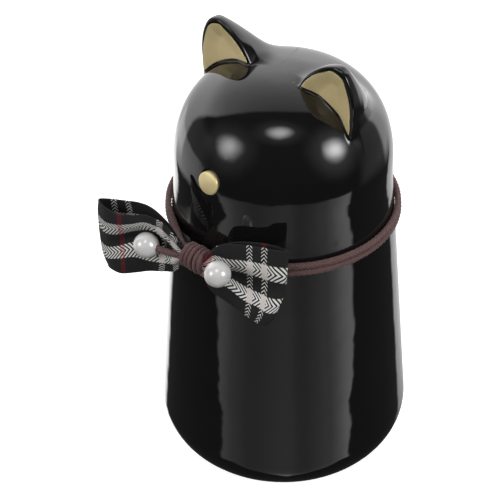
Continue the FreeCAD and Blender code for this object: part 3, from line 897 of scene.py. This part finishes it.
# ---------------------------------------------------------------- wrapping round the bow
def wrapping_path():
    """Turns of thinner stretched cord, laid side by side with a slight slant."""
    radius = WRAP_OUTER - WRAP_RADIUS
    pitch = (WRAP_LENGTH - 2 * WRAP_RADIUS) / (WRAP_TURNS - 1)
    line = []
    steps = 64
    for k in range(WRAP_TURNS * steps + 1):
        share = k / steps
        angle = 2 * math.pi * share
        swell = radius * (1 + 0.035 * math.sin(2.3 * share + 1.0) + 0.02 * math.sin(angle * 2 + share))
        slant = (0.20 + 0.50 * share / WRAP_TURNS) * MM
        crowd = 0.10 * MM * math.sin(1.9 * share + 0.5)
        x = (share - WRAP_TURNS / 2) * pitch * 0.97 + slant * math.sin(angle - 0.6) + crowd
        y = swell * math.cos(angle)
        z = -swell * math.sin(angle)
        line.append((KNOT[0] + x, KNOT[1] + y, KNOT[2] + z))
    return line


wrapping = braided_cord("bow_wrapping_braid", wrapping_path(), WRAP_RADIUS, "collar",
                        spacing=0.0002, around=20)
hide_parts("bow_wrapping")


# ---------------------------------------------------------------- pearls and tails
def box_middle(node):
    low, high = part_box(node)
    return np.array((low + high) / 2)


def make_pearl(node, toward):
    """Bead with a drilled hole, its rim slightly rounded; toward points to where its tail comes from."""
    centre = box_middle(node)
    radius, bore, lip = 4.0 * MM, 1.12 * MM, 0.25 * MM
    axis = np.array(toward) - centre
    axis /= np.linalg.norm(axis)
    helper = np.array([0, 0, 1.0]) if abs(axis[2]) < 0.9 else np.array([1.0, 0, 0])
    u = np.cross(axis, helper)
    u /= np.linalg.norm(u)
    v = np.cross(axis, u)
    mouth = math.asin(bore / radius)
    rim = radius * math.cos(mouth)
    profile = [(0.0, 0.25 * radius), (bore, 0.25 * radius), (bore, rim - lip)]
    for k in range(1, 6):
        turn = math.radians(18 * k)
        profile.append((bore + lip * (1 - math.cos(turn)), rim - lip * (1 - math.sin(turn))))
    start = math.asin((bore + 0.3 * MM) / radius)
    for angle in np.linspace(start, math.pi, 60):
        profile.append((radius * math.sin(angle), radius * math.cos(angle)))
    around = 72
    vertices = []
    for r, h in profile:
        for k in range(around):
            turn = 2 * math.pi * k / around
            wobble = 1 + 0.004 * math.sin(3 * turn + 40 * h)
            sideways = (u * math.cos(turn) + v * math.sin(turn)) * max(r, 1e-6) * wobble
            vertices.append(centre + axis * h + sideways)
    faces = grid_faces(len(profile), around, columns_close=True)
    pearl = mesh_object(node + "_bead", vertices, faces, "pearl", "collar")
    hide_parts(node)
    return centre, axis


def make_tail(node, centre, axis, start, sag):
    """Cord end that leaves the knot in a slight curve and goes straight into its pearl."""
    end = centre + axis * 1.1 * MM
    hole = centre + axis * 4.6 * MM
    along = hole - start
    line = []
    for share in np.linspace(0, 1, 24):
        point = start + along * share
        point = point + np.array([0, 0, -1.0]) * sag * math.sin(math.pi * share) * MM
        line.append(point)
    line.append(end)
    tail = braided_cord(node + "_braid", line, CORD_RADIUS * 1.05, "collar", around=24)
    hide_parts(node)


TAILS = {  # where a tail leaves the knot, from its middle, and how far it sags in millimetres
    "left": (np.array((4.0, -2.0, -2.4)) * MM, 0.25),
    "right": (np.array((-4.0, -2.2, 0.4)) * MM, 0.35),
}
for side, (offset, sag) in TAILS.items():
    middle, axis = make_pearl(side + "_pearl", box_middle(side + "_cord_tail"))
    make_tail(side + "_cord_tail", middle, axis, KNOT + offset, sag)


# ---------------------------------------------------------------- ribbon
# Each wing is a loop of ribbon.  Rows run across the ribbon from its upper to its lower edge and columns
# outward from the knot.  A point is (outward, up, forward) in millimetres from the middle of the knot.
ROWS = (13.0, 9.0, 5.0, 0.0, -5.0, -9.5, -13.0)
RIGHT_FRONT = [  # the cat's own right wing
    [(6.3, 7.0, 0.5), (6.5, 5.3, 0.9), (6.6, 3.4, 0.4), (6.6, 0.4, 0.0),
     (6.6, -2.2, 0.8), (6.5, -4.4, 0.6), (6.2, -6.0, 0.2)],
    [(10.4, 10.1, 0.3), (10.3, 8.5, 0.8), (10.3, 6.4, 0.8), (10.9, 0.6, -1.5),
     (10.3, -2.9, 0.6), (10.2, -6.0, 1.2), (10.6, -8.0, 0.9)],
    [(15.8, 11.2, 0.6), (15.6, 9.6, 1.2), (15.8, 7.5, 1.0), (16.0, 0.9, -2.9),
     (16.0, -4.3, 0.0), (15.4, -7.4, 1.4), (15.4, -9.4, 1.6)],
    [(21.9, 9.2, 0.8), (21.6, 7.4, 1.5), (21.5, 5.2, 1.6), (22.8, -0.2, -1.2),
     (21.7, -3.6, 1.2), (21.2, -8.4, 2.2), (21.1, -11.9, 2.2)],
    [(27.9, 8.1, 1.0), (27.6, 5.4, 1.7), (27.5, 2.4, 1.8), (28.2, -3.0, 0.4),
     (27.5, -6.5, 1.8), (27.2, -11.0, 2.4), (27.3, -14.6, 2.2)],
    [(32.9, 8.6, 0.2), (32.7, 4.6, 0.7), (32.6, 0.9, 0.8), (33.0, -4.4, 0.2),
     (32.6, -9.4, 0.9), (32.5, -13.0, 1.0), (32.2, -15.6, 0.8)],
    [(36.0, 8.4, -2.0), (36.5, 5.2, -1.9), (36.6, 1.2, -1.8), (36.9, -3.8, -1.8),
     (36.3, -9.6, -1.6), (35.4, -13.4, -1.4), (34.2, -16.0, -1.2)],
]
# A column of the rear layer: outward, up at its upper and lower edge, forward at its upper edge, middle
# and lower edge.
RIGHT_BACK = [
    (33.8, 8.0, -15.8, -4.0, -4.0, -2.6), (29.2, 8.9, -14.8, -4.5, -5.0, -3.0),
    (22.8, 10.4, -12.3, -4.4, -4.9, -2.6), (16.5, 11.3, -9.8, -3.0, -4.4, -1.8),
    (10.6, 10.0, -8.4, -1.4, -2.6, -1.0), (6.6, 7.1, -6.0, -0.6, -0.9, -0.4),
]
LEFT_FRONT = [
    [(6.7, 6.8, 0.2), (6.6, 5.2, 0.6), (6.6, 3.0, 0.3), (6.6, -0.8, 0.0),
     (6.6, -3.4, 0.9), (6.2, -6.4, 1.2), (5.8, -8.0, 1.2)],
    [(10.6, 9.1, -0.7), (10.9, 6.2, 0.0), (11.1, 2.6, 0.5), (10.7, -0.8, -0.4),
     (11.5, -3.1, 1.0), (12.0, -6.8, 2.0), (12.2, -10.1, 2.4)],
    [(16.0, 10.2, -1.9), (16.5, 6.9, -0.8), (17.0, 3.5, 0.1), (16.4, -1.8, -1.1),
     (17.6, -5.2, 1.6), (18.2, -8.4, 3.2), (18.4, -11.1, 4.0)],
    [(21.1, 10.5, -2.7), (21.6, 7.4, -1.6), (22.3, 3.8, -0.3), (22.2, -1.9, -0.6),
     (23.2, -5.3, 2.2), (23.4, -8.9, 4.2), (22.8, -11.4, 5.0)],
    [(26.0, 11.2, -2.7), (26.3, 8.0, -1.7), (26.9, 3.8, -0.5), (27.0, -1.4, 0.0),
     (27.2, -6.0, 2.3), (26.5, -9.7, 4.2), (24.9, -12.2, 5.1)],
    [(29.3, 11.0, -4.0), (29.6, 7.7, -3.2), (30.0, 3.4, -2.0), (29.9, -1.6, -1.2),
     (29.2, -5.8, 0.8), (28.2, -9.7, 2.8), (25.9, -13.2, 4.2)],
]
LEFT_BACK = [
    (25.6, 11.2, -12.0, -4.6, -2.8, 2.4), (21.0, 10.9, -11.0, -4.2, -2.7, 1.6),
    (16.0, 10.4, -10.4, -3.1, -2.4, 0.8), (10.8, 9.2, -9.4, -1.6, -1.5, 0.2),
    (6.7, 6.6, -7.2, -0.6, -0.8, 0.0),
]
RIGHT_YAW = math.radians(10.0)   # the right wing comes forward
LEFT_YAW = math.radians(-13.0)   # the left wing goes back
RIGHT_FOLD, LEFT_FOLD = 36.6, 30.0   # how far out each loop folds back
RIGHT_LEAD = 3.9                 # shifts the plaid on the right wing
WAIST = ((3.8, 2.1), (0.0, 1.5), (-3.8, 2.1))   # place and half height of the gathered middle
REAR_MARKS = (56.2, 60.0, 64.0)  # plaid along the middle's rear layer, then its front layer
FRONT_MARKS = (3.8, 0.0, -7.7)
WAIST_APART = 0.45
RIBBON_HALF = 13.0
RIBBON_THICKNESS = 0.34
RIBBON_FORWARD = 1.09            # from the middle of the knot to the middle of the strip


def back_columns(columns):
    """Rows of the rear layer of a loop from its upper edge, middle and lower edge."""
    made = []
    for outward, top, bottom, forward_top, forward_middle, forward_bottom in columns:
        column = []
        for row in ROWS:
            share = (ROWS[0] - row) / (ROWS[0] - ROWS[-1])
            forward = (
                forward_top * (1 - share) * (1 - 2 * share) + forward_middle * 4 * share * (1 - share)
                + forward_bottom * share * (2 * share - 1)
            )
            column.append((outward, top + (bottom - top) * share, forward))
        made.append(column)
    return made


def waist_column(x, half_height, y):
    return [(x, y, half_height * row / ROWS[0]) for row in ROWS]


def spline(values, positions, wanted):
    """Catmull-Rom curve through values at positions, read at the wanted positions; first axis runs along."""
    values = np.asarray(values, float)
    slopes = np.gradient(values, positions, axis=0)
    k = np.clip(np.searchsorted(positions, wanted, side="right") - 1, 0, len(positions) - 2)
    step = positions[k + 1] - positions[k]
    t = (wanted - positions[k]) / step
    shape = (-1,) + (1,) * (values.ndim - 1)
    t, step = t.reshape(shape), step.reshape(shape)
    return (
        (2 * t ** 3 - 3 * t ** 2 + 1) * values[k] + (t ** 3 - 2 * t ** 2 + t) * step * slopes[k]
        + (3 * t ** 2 - 2 * t ** 3) * values[k + 1] + (t ** 3 - t ** 2) * step * slopes[k + 1]
    )


def ribbon_ring():
    """The whole strip as one closed ring of columns, with the place of each in the plaid."""
    ring, plaid_x = [], []

    def wing(side, yaw, front, back, fold, lead, inward):
        columns, marks = [], []
        for column in front:
            columns.append(column)
            marks.append(column[3][0] + lead)
        for column in back_columns(back):
            columns.append(column)
            marks.append(2 * (fold + lead) - (column[3][0] + lead))
        placed = []
        for column in columns:
            points = []
            for outward, up, forward in column:
                x = side * (outward * math.cos(yaw) - forward * math.sin(yaw))
                y = -(outward * math.sin(yaw) + forward * math.cos(yaw))
                points.append((x, y, up))
            placed.append(points)
        if inward:
            placed.reverse()
            marks.reverse()
        ring.extend(placed)
        plaid_x.extend([side * m for m in marks])

    wing(1, LEFT_YAW, LEFT_FRONT, LEFT_BACK, LEFT_FOLD, 0.0, False)
    ring.extend(waist_column(x, half, WAIST_APART) for x, half in WAIST)
    plaid_x.extend(REAR_MARKS)
    wing(-1, RIGHT_YAW, RIGHT_FRONT, RIGHT_BACK, RIGHT_FOLD, RIGHT_LEAD, True)
    ring.extend(waist_column(x, half, -WAIST_APART) for x, half in WAIST[::-1])
    plaid_x.extend(FRONT_MARKS[::-1])
    return np.array(ring, float), plaid_x


def make_ribbon():
    """A closed strip with a thick hem, pleated towards the knot."""
    ring, marks = ribbon_ring()
    marks = np.array(marks, float)
    count = len(ring)
    middle_row = ring[:, 3]
    steps = np.linalg.norm(np.roll(middle_row, -1, 0) - middle_row, axis=1)
    run = np.concatenate([[0], np.cumsum(steps)])
    # three more columns at each end make the closed ring smooth where it meets itself
    extended = np.concatenate([ring[-3:], ring, ring[:4]])
    positions = np.concatenate([run[count - 3:count] - run[-1], run[:count], run[:4] + run[-1]])
    along_count, across_count = 420, 66
    wanted = np.linspace(0, run[-1], along_count, endpoint=False)
    columns = spline(extended, positions, wanted)
    rows = np.array(ROWS[::-1])
    across = np.linspace(-RIBBON_HALF, RIBBON_HALF, across_count + 1)
    points = spline(np.flip(columns, axis=1).transpose(1, 0, 2), rows, across)
    points = points.transpose(1, 0, 2)
    mark_run = np.interp(wanted, run[:count], marks)
    distance = np.abs(points[:, :, 0])
    pleat = 0.45 * np.exp(-((np.clip(distance - 3.5, 0, None)) / 5.0) ** 1.3)
    wave = np.cos(2 * math.pi * (3.3 * across / (2 * RIBBON_HALF)) + 0.7)
    points[:, :, 1] += pleat * wave[None, :]
    ripple = 0.10 * np.sin(0.55 * across[None, :] + 0.35 * wanted[:, None])
    points[:, :, 1] += ripple * np.clip((distance - 8) / 8, 0, 1)
    surface = KNOT + np.array([0, -RIBBON_FORWARD, 0]) * MM + points * MM
    du = np.roll(surface, -1, 0) - np.roll(surface, 1, 0)
    dv = np.gradient(surface, axis=1)
    normal = np.cross(du, dv)
    normal /= np.maximum(np.linalg.norm(normal, axis=2), 1e-9)[..., None]
    edge = np.minimum(across + RIBBON_HALF, RIBBON_HALF - across)
    hem = RIBBON_THICKNESS * (1 + 0.5 * np.exp(-((edge - 0.35) / 0.3) ** 2)) / 2 * MM
    hem = hem * np.sqrt(np.clip(edge / 0.12 + 0.15, 0, 1))
    outer = surface + normal * hem[None, :, None]
    inner = surface - normal * hem[None, :, None]
    width = across_count + 1
    vertices = np.concatenate([outer.reshape(-1, 3), inner.reshape(-1, 3)])
    uv = np.stack(np.broadcast_arrays(mark_run[:, None], across[None, :]), -1).reshape(-1, 2) / UV_SCALE
    shift = along_count * width
    faces = grid_faces(along_count, width, rows_close=True, flip=True)
    faces += grid_faces(along_count, width, rows_close=True, start=shift)
    for i in range(along_count):
        j = (i + 1) % along_count
        a, b = i * width, j * width
        faces.append((a, shift + a, shift + b, b))
        c, d = i * width + across_count, j * width + across_count
        faces.append((c, d, shift + d, shift + c))
    ribbon = mesh_object("bow_ribbon_cloth", vertices, faces, "plaid_ribbon", "collar",
                         "strip", np.concatenate([uv, uv]))
    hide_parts("bow_ribbon")


make_ribbon()
